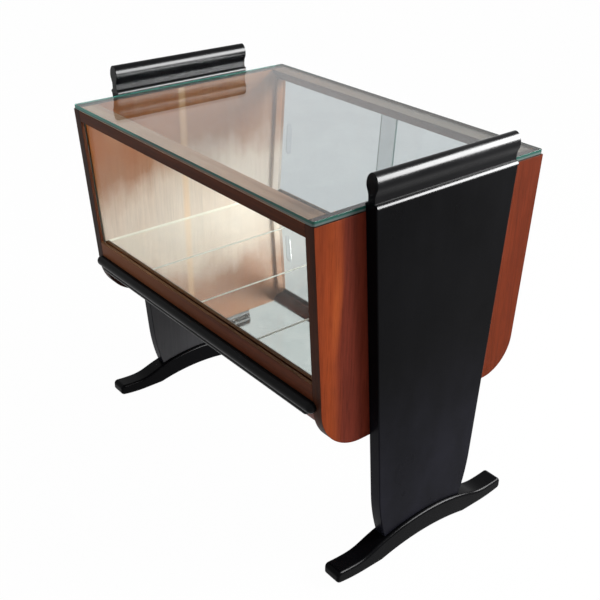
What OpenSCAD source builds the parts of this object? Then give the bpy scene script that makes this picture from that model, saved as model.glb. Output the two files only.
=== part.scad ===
// Glazed display case hung between two lacquered end standards.
// X runs along the width, the fixed glass front faces -Y, Z is up and the feet stand on Z = 0.

/* [Case] */
// Width over the two end panels
case_w = 680; // [560:5:820]
// Depth at the top edge
case_d = 476; // [400:4:560]
// Height of the top edge above the ground
case_top = 642; // [580:1:760]
// Height of the underside above the ground
case_bottom = 253; // [200:1:290]
// Level of the display floor's ledges above the ground
floor_z = 378; // [365:1:420]
// Lean of the front and back from upright, in degrees
lean = 3.75; // [2:0.25:5]
// Radius of the rounded lower front corner
front_corner_r = 84; // [60:1:95]
// Radius of the rounded lower back corner
back_corner_r = 66; // [50:1:85]
// Thickness of an end panel
panel_t = 20; // [16:1:26]

/* [Rails] */
// Width of a top rail's upper face
top_rail_w = 38; // [34:1:50]
// Height of a top rail's outer face
top_rail_h = 21; // [19:1:28]
// Thickness left at a top rail's inner edge
rail_lip = 5; // [4:0.5:8]
// Width of a top rail's level underside, before the chamfer
rail_seat = 22; // [21:0.5:26]
// Width of the ledge on a bottom rail
ledge_w = 18.5; // [17.5:0.5:24]
// Height of a bottom rail
bottom_rail_h = 52; // [48:1:58]

/* [Lower compartment] */
// Setback of the bent bottom from the end panels' edges
shell_inset = 8; // [6:0.5:8.5]
// Thickness of the bent bottom
shell_t = 6; // [4:0.5:6.5]
// Thickness of a former
former_t = 15; // [12:1:20]
// Thickness of the floor board
board_t = 10; // [8:1:15]

/* [Glass] */
// Thickness of the loose top glass
top_glass_t = 8; // [6:0.5:10]
// How far the top glass stops short of each end panel's outer face
top_glass_inset = 2; // [1.5:0.5:6]
// Corner radius of the top glass
top_glass_r = 4; // [2:0.5:10]
// Thickness of the front pane and of each back pane
pane_t = 4; // [3:0.5:4]
// Distance from the case's front to the front pane
front_set = 6.7; // [5:0.1:9]
// Depth of the front pane's groove in the rails
front_groove = 6; // [4:0.5:7]
// Depth of the front pane's groove in each end panel
side_groove = 4; // [3:0.5:6]
// Distance from the case's back to the outer sliding pane
back_set = 4.5; // [4:0.25:5]
// Space between the two sliding panes
pane_gap = 2; // [1.5:0.25:2.5]
// Width by which the two sliding panes overlap when closed
pane_overlap = 44; // [30:1:60]
// Depth of the sliding panes' upper grooves
upper_track = 9; // [7:0.5:10]
// Depth of the sliding panes' lower grooves
lower_track = 4; // [3:0.5:6]
// Height left above a sliding pane, so that it can be lifted out
lift_space = 4.5; // [4:0.5:6]
// Width and height of the ground finger pull in a sliding pane
pull_size = [16, 64];
// Depth of the finger pull
pull_depth = 1.2; // [0.8:0.1:1.5]
// Distance from a sliding pane's outer edge to its finger pull's middle
pull_inset = 33; // [25:1:60]
// Width and thickness of the bead that covers a sliding pane's closed edge
bead_size = [15, 8];

/* [Mirror floor] */
// Number of mirror tiles side by side
tile_count = 4; // [4:1:4]
// Thickness of a mirror tile
tile_t = 5; // [4:0.5:6]
// Drop from the ledges to the mirror's face
tile_drop = 2; // [0.5:0.5:3]
// Gap between neighbouring tiles
tile_gap = 0.6; // [0.3:0.1:1.5]
// Width of the bevel round a tile's face
tile_bevel = 1.6; // [0.8:0.2:3]

/* [Front moulding] */
// Radius of the upper roll
roll_r = 10; // [8:0.5:12]
// Distance from the case's front to the middle of the roll and of the bead
roll_out = 3.5; // [2:0.5:5]
// Radius of the lower bead
under_bead_r = 6.5; // [5:0.5:8]
// Height over which the roll and the lower bead merge
bead_merge = 4.5; // [3:0.5:6]
// How far the roll stops short of each end panel's outer face
roll_inset = 11; // [4:1:20]
// How much shorter the lower bead is at each end
under_bead_inset = 15; // [4:1:20]
// Drop from the ledge to the top of the roll
moulding_drop = 28.5; // [26:0.5:34]

/* [Standards] */
// Thickness of a standard
standard_t = 23; // [18:1:28]
// Width of a standard at its top
standard_w = 294; // [240:2:340]
// Height of a standard's top above the case's top edge
standard_rise = 9; // [8:0.5:14]
// Taper of a standard's edges, in degrees
standard_taper = 4.3; // [3:0.1:5.5]
// Height at which a standard's edges start to sweep inwards
sweep_z = 130; // [110:1:150]
// Radius of that inward sweep
sweep_r = 380; // [320:5:460]

/* [Handles] */
// Height of a handle above its standard
handle_h = 51; // [46:1:60]
// Width of the handle's grip
grip_w = 24; // [20:1:27]
// Height of the grip's widest line above the standard
grip_z = 33; // [29:1:36]
// Width of the handle's neck
neck_w = 14; // [12:1:17]
// Height of the neck above the standard
neck_z = 15; // [13:1:18]
// Radius of the bead at the handle's base
base_bead_r = 3; // [2:0.5:3.5]
// Radius of the cove between that bead and the neck
cove_r = 1.5; // [0.5:0.5:2]

/* [Feet] */
// Length of a foot
foot_l = 400; // [370:2:440]
// Width of a foot
foot_w = 36; // [32:1:44]
// Height of a foot at its middle
foot_h = 54; // [48:1:60]
// Radius of the hump
hump_r = 352; // [320:1:400]
// Slope where the hump turns into the hollow, in degrees
hump_slope = 20.5; // [18:0.5:22]
// Radius of the hollow beside the hump
hollow_r = 95; // [70:1:110]
// Radius of the rise to the toe
toe_rise_r = 300; // [200:5:400]
// Radius of the toe's rounded end
toe_r = 8; // [5:0.5:9]
// Distance from a foot's middle to where its toe starts to lift off the ground
toe_lift_y = 140; // [125:1:160]
// Radius of that lift
toe_lift_r = 300; // [250:5:500]
// Span of the arch under a foot
arch_span = 200; // [160:2:230]
// Height of that arch
arch_h = 12; // [6:0.5:16]

/* [Joinery] */
// Diameter and length of a top rail's dowel
top_dowel = [6, 30];
// Diameter and length of a bottom rail's dowel
bottom_dowel = [8, 36];
// Diameter and length of a dowel between standard and end panel
standard_dowel = [10, 28];
// Diameter and length of a dowel between handle and standard
handle_dowel = [8, 44];
// Diameter and length of a dowel between foot and standard
foot_dowel = [10, 60];
// Height of the foot dowels' middle above the ground
foot_dowel_z = 50; // [46:1:54]
// Depth of the dowel holes in the end panels
panel_bore = 12; // [8:1:14]
// Shank diameter and length of a standard's screw
standard_screw = [5, 50];
// Diameter of that screw's head
screw_head_d = 10; // [8:0.5:12]

/* [Clearances] */
// Radial clearance round dowels and screws
dowel_clear = 0.1; // [0.05:0.05:0.2]
// Clearance on each face of a pane in its groove
groove_clear = 0.4; // [0.3:0.05:0.6]
// Height at which a sliding pane runs above its groove
run_clear = 0.3; // [0.2:0.05:0.5]
// Clearance at the ends of the sliding panes
end_clear = 1; // [0.5:0.1:2]
// Clearance round the floor board and the mirror tiles
fit_clear = 0.3; // [0.2:0.05:0.5]

/* [Hidden] */
$fn = 64;
cut = 1;
facets = 16;

inner_w = case_w - 2 * panel_t;
inner_x = inner_w / 2;
case_x = case_w / 2;
slope = tan(lean);

// Half depth of the case at a height, and the same at a depth behind its leaning face
function half_depth(z) = case_d / 2 - (case_top - z) * slope;
function half_depth_in(z, inset) = half_depth(z) - inset / cos(lean);

// Position up the leaning face, from its top edge, of a point at height z set back from the face
function up_face(z, set) = (z - case_top - set * sin(lean)) / cos(lean);

function arc(cy, cz, r, from, to, n = facets) =
    [for (i = [0 : n]) let (a = from + (to - from) * i / n) [cy + r * cos(a), cz + r * sin(a)]];
function mirrored(points) = [for (i = [len(points) - 1 : -1 : 0]) [-points[i][0], points[i][1]]];

top_seat_z = case_top - top_rail_h;
top_inner_y = case_d / 2 - top_rail_w;
ledge_inner_y = half_depth(floor_z) - ledge_w;
rail_foot_z = floor_z - bottom_rail_h;
tile_top_z = floor_z - tile_drop;
board_top_z = tile_top_z - tile_t;
former_top_z = board_top_z - board_t;

front_pane_bottom = up_face(floor_z - front_groove, front_set);
front_pane_top = up_face(top_seat_z + front_groove, front_set + pane_t);
front_pane_w = inner_w + 2 * (side_groove - end_clear / 2);

// The left pane runs in the inner track and the right one in the outer track
inner_set = back_set + pane_t + pane_gap;
back_pane_w = inner_x - end_clear + pane_overlap / 2;
bead_set = inner_set + pane_t + groove_clear;
lower_track_z = up_face(floor_z - lower_track, inner_set);
upper_track_z = up_face(top_seat_z + upper_track, inner_set);
pane_bottom = lower_track_z + run_clear;
pane_top = upper_track_z - lift_space;

tile_w = (inner_w - 2 * fit_clear - (tile_count - 1) * tile_gap) / tile_count;
tile_l = 2 * (ledge_inner_y - fit_clear);

standard_x = case_x + standard_t / 2;
standard_top = case_top + standard_rise;

// The foot's hollow, and the angles at which its upper and lower edges run into the toe's round end
hump_end_y = hump_r * sin(hump_slope);
hollow_y = hump_end_y + hollow_r * sin(hump_slope);
hollow_z = foot_h - (hump_r + hollow_r) * (1 - cos(hump_slope));
toe_y = foot_l / 2 - toe_r;
toe_rise = asin((toe_y - hollow_y) / (toe_rise_r + toe_r));
toe_lift = asin((toe_y - toe_lift_y) / (toe_lift_r - toe_r));
toe_upper_z = hollow_z + toe_rise_r - (toe_rise_r + toe_r) * cos(toe_rise);
toe_lower_z = toe_lift_r - (toe_lift_r - toe_r) * cos(toe_lift);
arch_r = (arch_span * arch_span / 4 + arch_h * arch_h) / (2 * arch_h);
arch_half = asin(arch_span / 2 / arch_r);

// Half width of a standard where its inward sweep starts, and the centre and end of that sweep
sweep_y = standard_w / 2 - (standard_top - sweep_z) * tan(standard_taper);
sweep_centre = [sweep_y - sweep_r * cos(standard_taper), sweep_z + sweep_r * sin(standard_taper)];
sweep_end = asin((sweep_centre[1] - hollow_z) / sweep_r);

// Heights and places of the joints
top_dowel_in = [19, 28];
top_dowel_drop = [10.5, 7.5];
bottom_dowel_drop = [18, 31];
standard_dowel_y = [-90, 90];
standard_dowel_drop = [42, 150];
handle_dowel_y = [-100, 0, 100];
foot_dowel_y = [-55, 0, 55];
screw_y = [-75, 75];
screw_rise = [35, 75];

// ---------- helpers ----------

// Extrudes an outline drawn in Y and Z along X, centred on x
module along_x(x, length) {
    translate([x, 0, 0]) rotate([90, 0, 90]) linear_extrude(length, center = true) children();
}

// Frames of the leaning front and back: y runs into the case and z up its face
module on_front() {
    translate([0, -case_d / 2, case_top]) rotate([lean, 0, 0]) children();
}

module on_back() {
    mirror([0, 1, 0]) on_front() children();
}

module rod_x(d, length) {
    rotate([0, 90, 0]) cylinder(d = d, h = length, center = true);
}

module both_sides() {
    children();
    mirror([1, 0, 0]) children();
}

// A slab parallel to the leaning face, from one height on that face to another
module face_slab(width, set, thickness, bottom, top) {
    translate([-width / 2, set, bottom]) cube([width, thickness, top - bottom]);
}

// ---------- case ----------

// One side of the case's outline, set in from its faces
function case_side(inset, corner) =
    let (cz = case_bottom + corner,
        cy = half_depth(cz) - corner / cos(lean))
    concat([[half_depth_in(case_top, inset), case_top]], arc(cy, cz, corner - inset, -lean, -90));

module case_outline(inset = 0) {
    polygon(concat(case_side(inset, back_corner_r), mirrored(case_side(inset, front_corner_r))));
}

// Holes for the rails' dowels, shared by the rails and the end panels
module rail_dowel_set(clear, half = 0) {
    for (side = [-1, 1]) {
        for (i = [0, 1]) {
            for (end = [-1, 1]) {
                translate([end * (inner_x + panel_bore - top_dowel[1] / 2),
                        side * (case_d / 2 - top_dowel_in[i]), case_top - top_dowel_drop[i]])
                    rod_x(top_dowel[0] + 2 * clear, top_dowel[1] + half);
                translate([end * (inner_x + panel_bore - bottom_dowel[1] / 2),
                        side * (ledge_inner_y + ledge_w / 2 - bottom_dowel_drop[i] * slope),
                        floor_z - bottom_dowel_drop[i]])
                    rod_x(bottom_dowel[0] + 2 * clear, bottom_dowel[1] + half);
            }
        }
    }
}

// Dowels between the right end panel and its standard
module standard_dowel_set(clear, extra = 0) {
    for (y = standard_dowel_y) {
        for (drop = standard_dowel_drop) {
            translate([case_x - panel_bore + standard_dowel[1] / 2, y, case_top - drop])
                rod_x(standard_dowel[0] + 2 * clear, standard_dowel[1] + extra);
        }
    }
}

// Countersunk screws through the right former and end panel into the standard
module standard_screw_set(clear) {
    head_h = (screw_head_d - standard_screw[0]) / 2;
    for (y = screw_y) {
        for (rise = screw_rise) {
            translate([inner_x - former_t - clear, y, case_bottom + rise]) rotate([0, 90, 0]) {
                cylinder(d = standard_screw[0] + 2 * clear, h = standard_screw[1] + 2 * clear);
                cylinder(d1 = screw_head_d + 2 * clear, d2 = standard_screw[0] + 2 * clear, h = head_h);
            }
        }
    }
}

module end_panel() {
    color([0.55, 0.26, 0.14]) difference() {
        along_x(case_x - panel_t / 2, panel_t) case_outline();
        on_front()
            face_slab(inner_w + 2 * side_groove, front_set - groove_clear,
                pane_t + 2 * groove_clear, front_pane_bottom, front_pane_top + cut);
        rail_dowel_set(dowel_clear, 2 * dowel_clear);
        standard_dowel_set(dowel_clear, 2 * dowel_clear);
        standard_screw_set(dowel_clear);
    }
}

// Section of a top rail, drawn for the front
function top_rail_section() = [
    [-case_d / 2, case_top],
    [-half_depth(top_seat_z), top_seat_z],
    [-half_depth(top_seat_z) + rail_seat, top_seat_z],
    [-top_inner_y, case_top - rail_lip],
    [-top_inner_y, case_top]];

module top_rail() {
    along_x(0, inner_w) polygon(top_rail_section());
}

module front_top_rail() {
    color([0.28, 0.15, 0.11]) difference() {
        top_rail();
        on_front()
            face_slab(inner_w + cut, front_set - groove_clear, pane_t + 2 * groove_clear,
                front_pane_top - 2 * top_rail_h, front_pane_top + fit_clear);
        rail_dowel_set(dowel_clear, 2 * dowel_clear);
    }
}

// Grooves for both sliding panes, from one height on the back to another
module track_cut(bottom, top) {
    on_back() {
        for (set = [back_set, inner_set]) {
            face_slab(inner_w + cut, set - groove_clear, pane_t + 2 * groove_clear, bottom, top);
        }
    }
}

module back_top_rail() {
    color([0.28, 0.15, 0.11]) difference() {
        mirror([0, 1, 0]) top_rail();
        track_cut(upper_track_z - 2 * top_rail_h, upper_track_z);
        rail_dowel_set(dowel_clear, 2 * dowel_clear);
    }
}

// Section of a bottom rail, drawn for the front
function bottom_rail_section() = [
    [-half_depth(floor_z), floor_z],
    [-half_depth(rail_foot_z), rail_foot_z],
    [-ledge_inner_y, rail_foot_z],
    [-ledge_inner_y, floor_z]];

module bottom_rail() {
    along_x(0, inner_w) polygon(bottom_rail_section());
}

module front_bottom_rail() {
    color([0.40, 0.25, 0.17]) difference() {
        bottom_rail();
        on_front()
            face_slab(inner_w + cut, front_set - groove_clear, pane_t + 2 * groove_clear,
                front_pane_bottom, front_pane_bottom + bottom_rail_h);
        rail_dowel_set(dowel_clear, 2 * dowel_clear);
    }
}

module back_bottom_rail() {
    color([0.40, 0.25, 0.17]) difference() {
        mirror([0, 1, 0]) bottom_rail();
        track_cut(lower_track_z, lower_track_z + bottom_rail_h);
        rail_dowel_set(dowel_clear, 2 * dowel_clear);
    }
}

module rail_dowels() {
    color("burlywood") rail_dowel_set(0);
}

// ---------- lower compartment ----------

module below(z) {
    intersection() {
        children();
        translate([-case_d, z - case_top]) square([2 * case_d, case_top]);
    }
}

module bottom_shell() {
    color([0.36, 0.17, 0.10]) along_x(0, inner_w) below(rail_foot_z) difference() {
        case_outline(shell_inset);
        case_outline(shell_inset + shell_t);
    }
}

// A former fills the trough and stands up between the bottom rails to carry the floor board
module former_outline() {
    stem_y = ledge_inner_y - fit_clear;
    intersection() {
        case_outline(shell_inset + shell_t);
        polygon([[-stem_y, former_top_z], [stem_y, former_top_z], [stem_y, rail_foot_z],
            [case_d, rail_foot_z], [case_d, 0], [-case_d, 0], [-case_d, rail_foot_z],
            [-stem_y, rail_foot_z]]);
    }
}

module end_former() {
    color("tan") difference() {
        along_x(inner_x - former_t / 2, former_t) former_outline();
        standard_screw_set(dowel_clear);
    }
}

module middle_former() {
    color("tan") along_x(0, former_t) former_outline();
}

module floor_board() {
    board_y = ledge_inner_y - fit_clear;
    color("wheat") translate([-inner_x + fit_clear, -board_y, former_top_z])
        cube([inner_w - 2 * fit_clear, 2 * board_y, board_t]);
}

// ---------- mirror floor ----------

// Section of a mirror tile of a given width, bevelled on both upper edges
module tile_section(width) {
    polygon([[-width / 2, 0], [width / 2, 0], [width / 2, tile_t - tile_bevel / 2],
        [width / 2 - tile_bevel, tile_t], [-width / 2 + tile_bevel, tile_t],
        [-width / 2, tile_t - tile_bevel / 2]]);
}

module floor_mirror(i) {
    x = -inner_x + fit_clear + tile_w / 2 + (i - 1) * (tile_w + tile_gap);
    color([0.80, 0.86, 0.86]) translate([x, 0, board_top_z]) intersection() {
        rotate([90, 0, 0]) linear_extrude(tile_l, center = true) tile_section(tile_w);
        rotate([90, 0, 90]) linear_extrude(tile_w, center = true) tile_section(tile_l);
    }
}

// ---------- glass ----------

module front_glass() {
    color([0.75, 0.88, 0.85, 0.4]) on_front()
        face_slab(front_pane_w, front_set, pane_t, front_pane_bottom, front_pane_top);
}

module top_glass() {
    glass_x = case_x - top_glass_inset - top_glass_r;
    glass_y = case_d / 2 - top_glass_r;
    color([0.55, 0.80, 0.76, 0.4]) translate([0, 0, case_top]) linear_extrude(top_glass_t) union() {
        square([2 * glass_x, case_d], center = true);
        square([2 * (glass_x + top_glass_r), 2 * glass_y], center = true);
        for (x = [-glass_x, glass_x]) {
            for (y = [-glass_y, glass_y]) {
                translate([x, y]) circle(top_glass_r);
            }
        }
    }
}

// A long hole with round ends, ground part of the way into the pane's outer face
module finger_pull(x, set) {
    pull_z = (pane_bottom + pane_top) / 2;
    rise = (pull_size[1] - pull_size[0]) / 2;
    translate([x, set + pull_depth, pull_z]) rotate([90, 0, 0]) linear_extrude(pull_depth + cut) union() {
        square([pull_size[0], 2 * rise], center = true);
        for (z = [-rise, rise]) {
            translate([0, z]) circle(d = pull_size[0]);
        }
    }
}

// A sliding pane closed against the left or right end panel
module back_pane(side, set) {
    outer_x = inner_x - end_clear;
    color([0.75, 0.88, 0.85, 0.4]) on_back() difference() {
        translate([side * (outer_x - back_pane_w / 2), 0, 0])
            face_slab(back_pane_w, set, pane_t, pane_bottom, pane_top);
        finger_pull(side * (outer_x - pull_inset), set);
    }
}

// Covers the closed edge of the sliding panes from inside the case
module back_bead() {
    color([0.62, 0.34, 0.18]) intersection() {
        on_back() translate([inner_x - bead_size[1], bead_set, up_face(floor_z, 0) - top_rail_h])
            cube([bead_size[1], bead_size[0], up_face(case_top, 0) - up_face(floor_z, 0)]);
        along_x(inner_x - bead_size[1] / 2, bead_size[1]) difference() {
            translate([0, tile_top_z]) square([case_d, case_top - tile_top_z]);
            mirror([1, 0]) polygon(top_rail_section());
            mirror([1, 0]) polygon(bottom_rail_section());
        }
    }
}

// ---------- front moulding ----------

// A rod with round ends, centred out in front of the case at a distance down its face
module capsule(r, half_length, out, down) {
    translate([0, -out, -down]) {
        rod_x(2 * r, 2 * (half_length - r));
        both_sides() translate([half_length - r, 0, 0]) sphere(r);
    }
}

module front_moulding() {
    roll_half = case_x - roll_inset;
    bead_half = roll_half - under_bead_inset;
    pitch = roll_r + under_bead_r - bead_merge;
    color([0.09, 0.09, 0.10]) on_front()
        translate([0, 0, up_face(floor_z - moulding_drop, 0)]) difference() {
            union() {
                capsule(roll_r, roll_half, roll_out, roll_r);
                capsule(under_bead_r, bead_half, roll_out, roll_r + pitch);
            }
            translate([-case_w, 0, -case_top]) cube([2 * case_w, 4 * roll_r, 2 * case_top]);
        }
}

// ---------- standards, handles and feet ----------

// Half of a foot's outline, over its upper edge and back under its toe
function foot_side() = concat(
    arc(0, foot_h - hump_r, hump_r, 90, 90 - hump_slope),
    arc(hollow_y, hollow_z + hollow_r, hollow_r, 270 - hump_slope, 270),
    arc(hollow_y, hollow_z + toe_rise_r, toe_rise_r, 270, 270 + toe_rise),
    arc(toe_y, toe_upper_z, toe_r, 90 + toe_rise, 0),
    arc(toe_y, toe_lower_z, toe_r, 0, toe_lift - 90),
    arc(toe_lift_y, toe_lift_r, toe_lift_r, 270 + toe_lift, 270));

module foot_outline() {
    arch = arc(0, arch_h - arch_r, arch_r, 90 - arch_half, 90 + arch_half);
    polygon(concat(foot_side(), arch, mirrored(foot_side())));
}

// The standard is cut to the foot's upper edge, so that it stands on it all along
module standard_outline() {
    side = concat([[standard_w / 2, standard_top]],
        arc(sweep_centre[0], sweep_centre[1], sweep_r, -standard_taper, -sweep_end));
    difference() {
        polygon(concat(side, mirrored(side)));
        foot_outline();
        translate([-foot_l / 2, -foot_h]) square([foot_l, foot_h + arch_h + cut]);
    }
}

module handle_dowel_set(clear) {
    for (y = handle_dowel_y) {
        translate([standard_x, y, standard_top])
            cylinder(d = handle_dowel[0] + 2 * clear, h = handle_dowel[1] + 2 * clear, center = true);
    }
}

module foot_dowel_set(clear) {
    for (y = foot_dowel_y) {
        translate([standard_x, y, foot_dowel_z])
            cylinder(d = foot_dowel[0] + 2 * clear, h = foot_dowel[1] + 2 * clear, center = true);
    }
}

module standard() {
    color([0.10, 0.10, 0.11]) difference() {
        along_x(standard_x, standard_t) standard_outline();
        standard_dowel_set(dowel_clear, 2 * dowel_clear);
        standard_screw_set(dowel_clear);
        handle_dowel_set(dowel_clear);
        foot_dowel_set(dowel_clear);
    }
}

// Half outline of the handle across its grip, from its base to its crown
function handle_side() = concat(
    [[standard_t / 2, 0]],
    arc(standard_t / 2 - base_bead_r / 2, base_bead_r, base_bead_r, -60, 90, 8),
    arc(neck_w / 2 + cove_r, 2 * base_bead_r + cove_r, cove_r, -90, -180, 8),
    [for (i = [0 : facets - 1]) let (a = 180 * i / facets)
        [neck_w / 2 + (grip_w - neck_w) / 4 * (1 - cos(a)), neck_z + (grip_z - neck_z) * i / facets]],
    [for (i = [0 : facets]) let (a = 90 * i / facets)
        [grip_w / 2 * cos(a), grip_z + (handle_h - grip_z) * sin(a)]]);

module handle() {
    color([0.07, 0.07, 0.08]) difference() {
        translate([standard_x, 0, standard_top]) rotate([90, 0, 0])
            linear_extrude(standard_w, center = true)
                polygon(concat(handle_side(), mirrored(handle_side())));
        handle_dowel_set(dowel_clear);
    }
}

module foot() {
    color([0.09, 0.09, 0.09]) difference() {
        along_x(standard_x, foot_w) foot_outline();
        foot_dowel_set(dowel_clear);
    }
}

module standard_dowels() {
    color("burlywood") both_sides() standard_dowel_set(0);
}

module handle_dowels() {
    color("burlywood") both_sides() handle_dowel_set(0);
}

module foot_dowels() {
    color("burlywood") both_sides() foot_dowel_set(0);
}

module standard_screws() {
    color("silver") both_sides() standard_screw_set(0);
}

module left() {
    mirror([1, 0, 0]) children();
}

// ---------- the nodes ----------

left() end_panel();  // left_end_panel
end_panel();  // right_end_panel
front_top_rail();
back_top_rail();
front_bottom_rail();
back_bottom_rail();
bottom_shell();
left() end_former();  // left_former
middle_former();
end_former();  // right_former
floor_board();
floor_mirror(1);  // floor_mirror_1
floor_mirror(2);  // floor_mirror_2
floor_mirror(3);  // floor_mirror_3
floor_mirror(4);  // floor_mirror_4
front_glass();
top_glass();
front_moulding();
left() back_bead();  // left_back_bead
back_bead();  // right_back_bead
left() standard();  // left_standard
standard();  // right_standard
left() handle();  // left_handle
handle();  // right_handle
left() foot();  // left_foot
foot();  // right_foot
rail_dowels();
standard_dowels();
handle_dowels();
foot_dowels();
standard_screws();
back_pane(-1, inner_set);  // back_pane_left
back_pane(1, back_set);  // back_pane_right
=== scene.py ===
import math

import bmesh
import bpy
from mathutils import Matrix, Vector


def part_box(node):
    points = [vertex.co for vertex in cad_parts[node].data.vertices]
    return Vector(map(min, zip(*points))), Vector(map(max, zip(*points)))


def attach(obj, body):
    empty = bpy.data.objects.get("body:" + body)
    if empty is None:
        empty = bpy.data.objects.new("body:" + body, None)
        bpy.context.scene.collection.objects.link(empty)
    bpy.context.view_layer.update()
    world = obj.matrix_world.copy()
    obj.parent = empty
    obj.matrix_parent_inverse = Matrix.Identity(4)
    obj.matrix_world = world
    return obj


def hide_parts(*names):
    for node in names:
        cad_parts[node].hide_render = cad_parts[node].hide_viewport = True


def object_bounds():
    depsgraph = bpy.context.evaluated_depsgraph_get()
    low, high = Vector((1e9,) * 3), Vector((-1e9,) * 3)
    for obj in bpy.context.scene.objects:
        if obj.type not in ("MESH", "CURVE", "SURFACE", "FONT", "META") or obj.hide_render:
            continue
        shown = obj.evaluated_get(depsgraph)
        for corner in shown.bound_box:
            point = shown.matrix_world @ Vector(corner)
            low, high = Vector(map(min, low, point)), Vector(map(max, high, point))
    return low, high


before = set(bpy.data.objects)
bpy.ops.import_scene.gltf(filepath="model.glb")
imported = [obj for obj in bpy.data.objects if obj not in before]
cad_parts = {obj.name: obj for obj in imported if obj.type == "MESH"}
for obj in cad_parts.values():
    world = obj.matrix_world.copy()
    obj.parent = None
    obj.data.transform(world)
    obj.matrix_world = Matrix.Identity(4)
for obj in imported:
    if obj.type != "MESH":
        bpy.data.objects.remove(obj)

cad_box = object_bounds()

# The glazed display case: a trough-shaped case with a leaning glass front, a loose glass top and
# two sliding panes at the back, hung between two lacquered standards with rolled handles and
# arched feet. Lengths are metres. X runs along the width, the glass front faces -Y.

# ---------- sizes ----------

LEAN = math.radians(3.75)  # of the case's front and back from upright
FRONT_CORNER, BACK_CORNER = 0.084, 0.066  # rounded lower corners
RAIL_LIP, RAIL_SEAT = 0.005, 0.022  # top rail: thickness of its inner edge, width of its underside
SHELL_INSET, SHELL_THICKNESS = 0.008, 0.006
PANE = 0.004
GROOVE_SIDE = 0.0004  # clearance on each face of a pane
PANE_TOP_GAP = 0.0003  # clearance over the front pane
FRONT_SET, FRONT_GROOVE, END_GROOVE = 0.0067, 0.006, 0.004
BACK_SET, PANE_GAP, UPPER_TRACK, LOWER_TRACK = 0.0045, 0.002, 0.009, 0.004
TOP_GLASS_CORNER, TOP_GLASS_ARRIS = 0.004, 0.0009
TOP_GLASS_LIFT = 0.00015  # keeps the plate's underside just clear of the wood it lies on
TILE_BEVEL, TILE_GAP = 0.0022, 0.0006
TAPER = math.radians(4.3)  # of a standard's edges
SWEEP_Z, SWEEP_RADIUS = 0.130, 0.380
GRIP_WIDTH, GRIP_Z, NECK_WIDTH, NECK_Z = 0.024, 0.033, 0.014, 0.015
BASE_ROUND, BASE_PROUD, BASE_LIFT = 0.009, 0.0015, 0.0003  # rounded flare at a handle's base
BASE_LOW_SLOPE, BASE_HIGH_SLOPE = math.radians(8), math.radians(52)
HUMP_RADIUS, HUMP_SLOPE, HOLLOW_RADIUS = 0.352, math.radians(20.5), 0.095
TOE_RISE_RADIUS, TOE_RADIUS, TOE_LIFT_Y, TOE_LIFT_RADIUS = 0.300, 0.008, 0.140, 0.300
ARCH_SPAN, ARCH_HEIGHT = 0.200, 0.012
PANEL_EASE, RAIL_EASE, PANE_EASE = 0.0008, 0.0006, 0.0005  # widths of eased edges
STANDARD_EASE, HANDLE_EASE, FOOT_EASE = 0.0018, 0.0012, 0.005
OVERRUN = 0.01  # how far a groove's cutter stands past the case's top
RIGHT = math.radians(90)
TINY, WELD = 1e-5, 1e-6  # same place, and points that are merged
FACING, FLAT_ON = 0.7, 0.95  # least share of a face's normal along a way, to count as that side

panel_low, panel_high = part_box("right_end_panel")
top_rail_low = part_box("back_top_rail")[0]
low_rail_low, low_rail_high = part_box("back_bottom_rail")
INNER_X, CASE_X = panel_low.x, panel_high.x
TOP_Z, BOTTOM_Z, HALF_DEPTH = panel_high.z, panel_low.z, panel_high.y
SEAT_Z, TOP_INNER_Y = top_rail_low.z, top_rail_low.y
LEDGE_Z, RAIL_FOOT_Z, LEDGE_INNER_Y = low_rail_high.z, low_rail_low.z, low_rail_low.y
MIRROR_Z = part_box("floor_mirror_1")[1].z


# ---------- outlines ----------

def half_depth(z, inset=0.0):
    """Half depth of the case at a height, set in from its leaning face."""
    return HALF_DEPTH - (TOP_Z - z) * math.tan(LEAN) - inset / math.cos(LEAN)


def on_face(set_in, up):
    """Y and Z of a point set in from the leaning front and up its face from the top edge."""
    return (-HALF_DEPTH + set_in * math.cos(LEAN) - up * math.sin(LEAN),
            TOP_Z + set_in * math.sin(LEAN) + up * math.cos(LEAN))


def up_face(z, set_in):
    """How far up its leaning face a height lies, for a point set in from the front."""
    return (z - TOP_Z - set_in * math.sin(LEAN)) / math.cos(LEAN)


def arc(centre, radius, start, end, steps=24):
    """Points round part of a circle, both ends among them."""
    return [(centre[0] + radius * math.cos(start + (end - start) * i / steps),
             centre[1] + radius * math.sin(start + (end - start) * i / steps))
            for i in range(steps + 1)]


def mirrored(points):
    """An outline carried over to the other side, in the order that continues it."""
    return [(-y, z) for y, z in reversed(points)]


def case_side(inset, corner, top=TOP_Z):
    """One side of the case's outline, from a height down and round its lower corner."""
    centre_z = BOTTOM_Z + corner
    centre_y = half_depth(centre_z) - corner / math.cos(LEAN)
    return [(half_depth(top, inset), top)] + arc(
        (centre_y, centre_z), corner - inset, -LEAN, -RIGHT)


def case_outline(inset=0.0, top=TOP_Z):
    """The case from its end, with the larger corner at the front."""
    return case_side(inset, BACK_CORNER, top) + mirrored(case_side(inset, FRONT_CORNER, top))


def slot_points(set_in, thickness, mouth_z, end):
    """The four corners of a pane's groove, from its outer lip round to its inner lip."""
    outer, inner = set_in - GROOVE_SIDE, set_in + thickness + GROOVE_SIDE
    return [on_face(outer, up_face(mouth_z, outer)), on_face(outer, end),
            on_face(inner, end), on_face(inner, up_face(mouth_z, inner))]


FRONT_PANE_TOP = up_face(SEAT_Z + FRONT_GROOVE, FRONT_SET + PANE)
FRONT_PANE_BOTTOM = up_face(LEDGE_Z - FRONT_GROOVE, FRONT_SET)
INNER_SET = BACK_SET + PANE + PANE_GAP
UPPER_TRACK_END = up_face(SEAT_Z + UPPER_TRACK, INNER_SET)
LOWER_TRACK_END = up_face(LEDGE_Z - LOWER_TRACK, INNER_SET)


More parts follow.
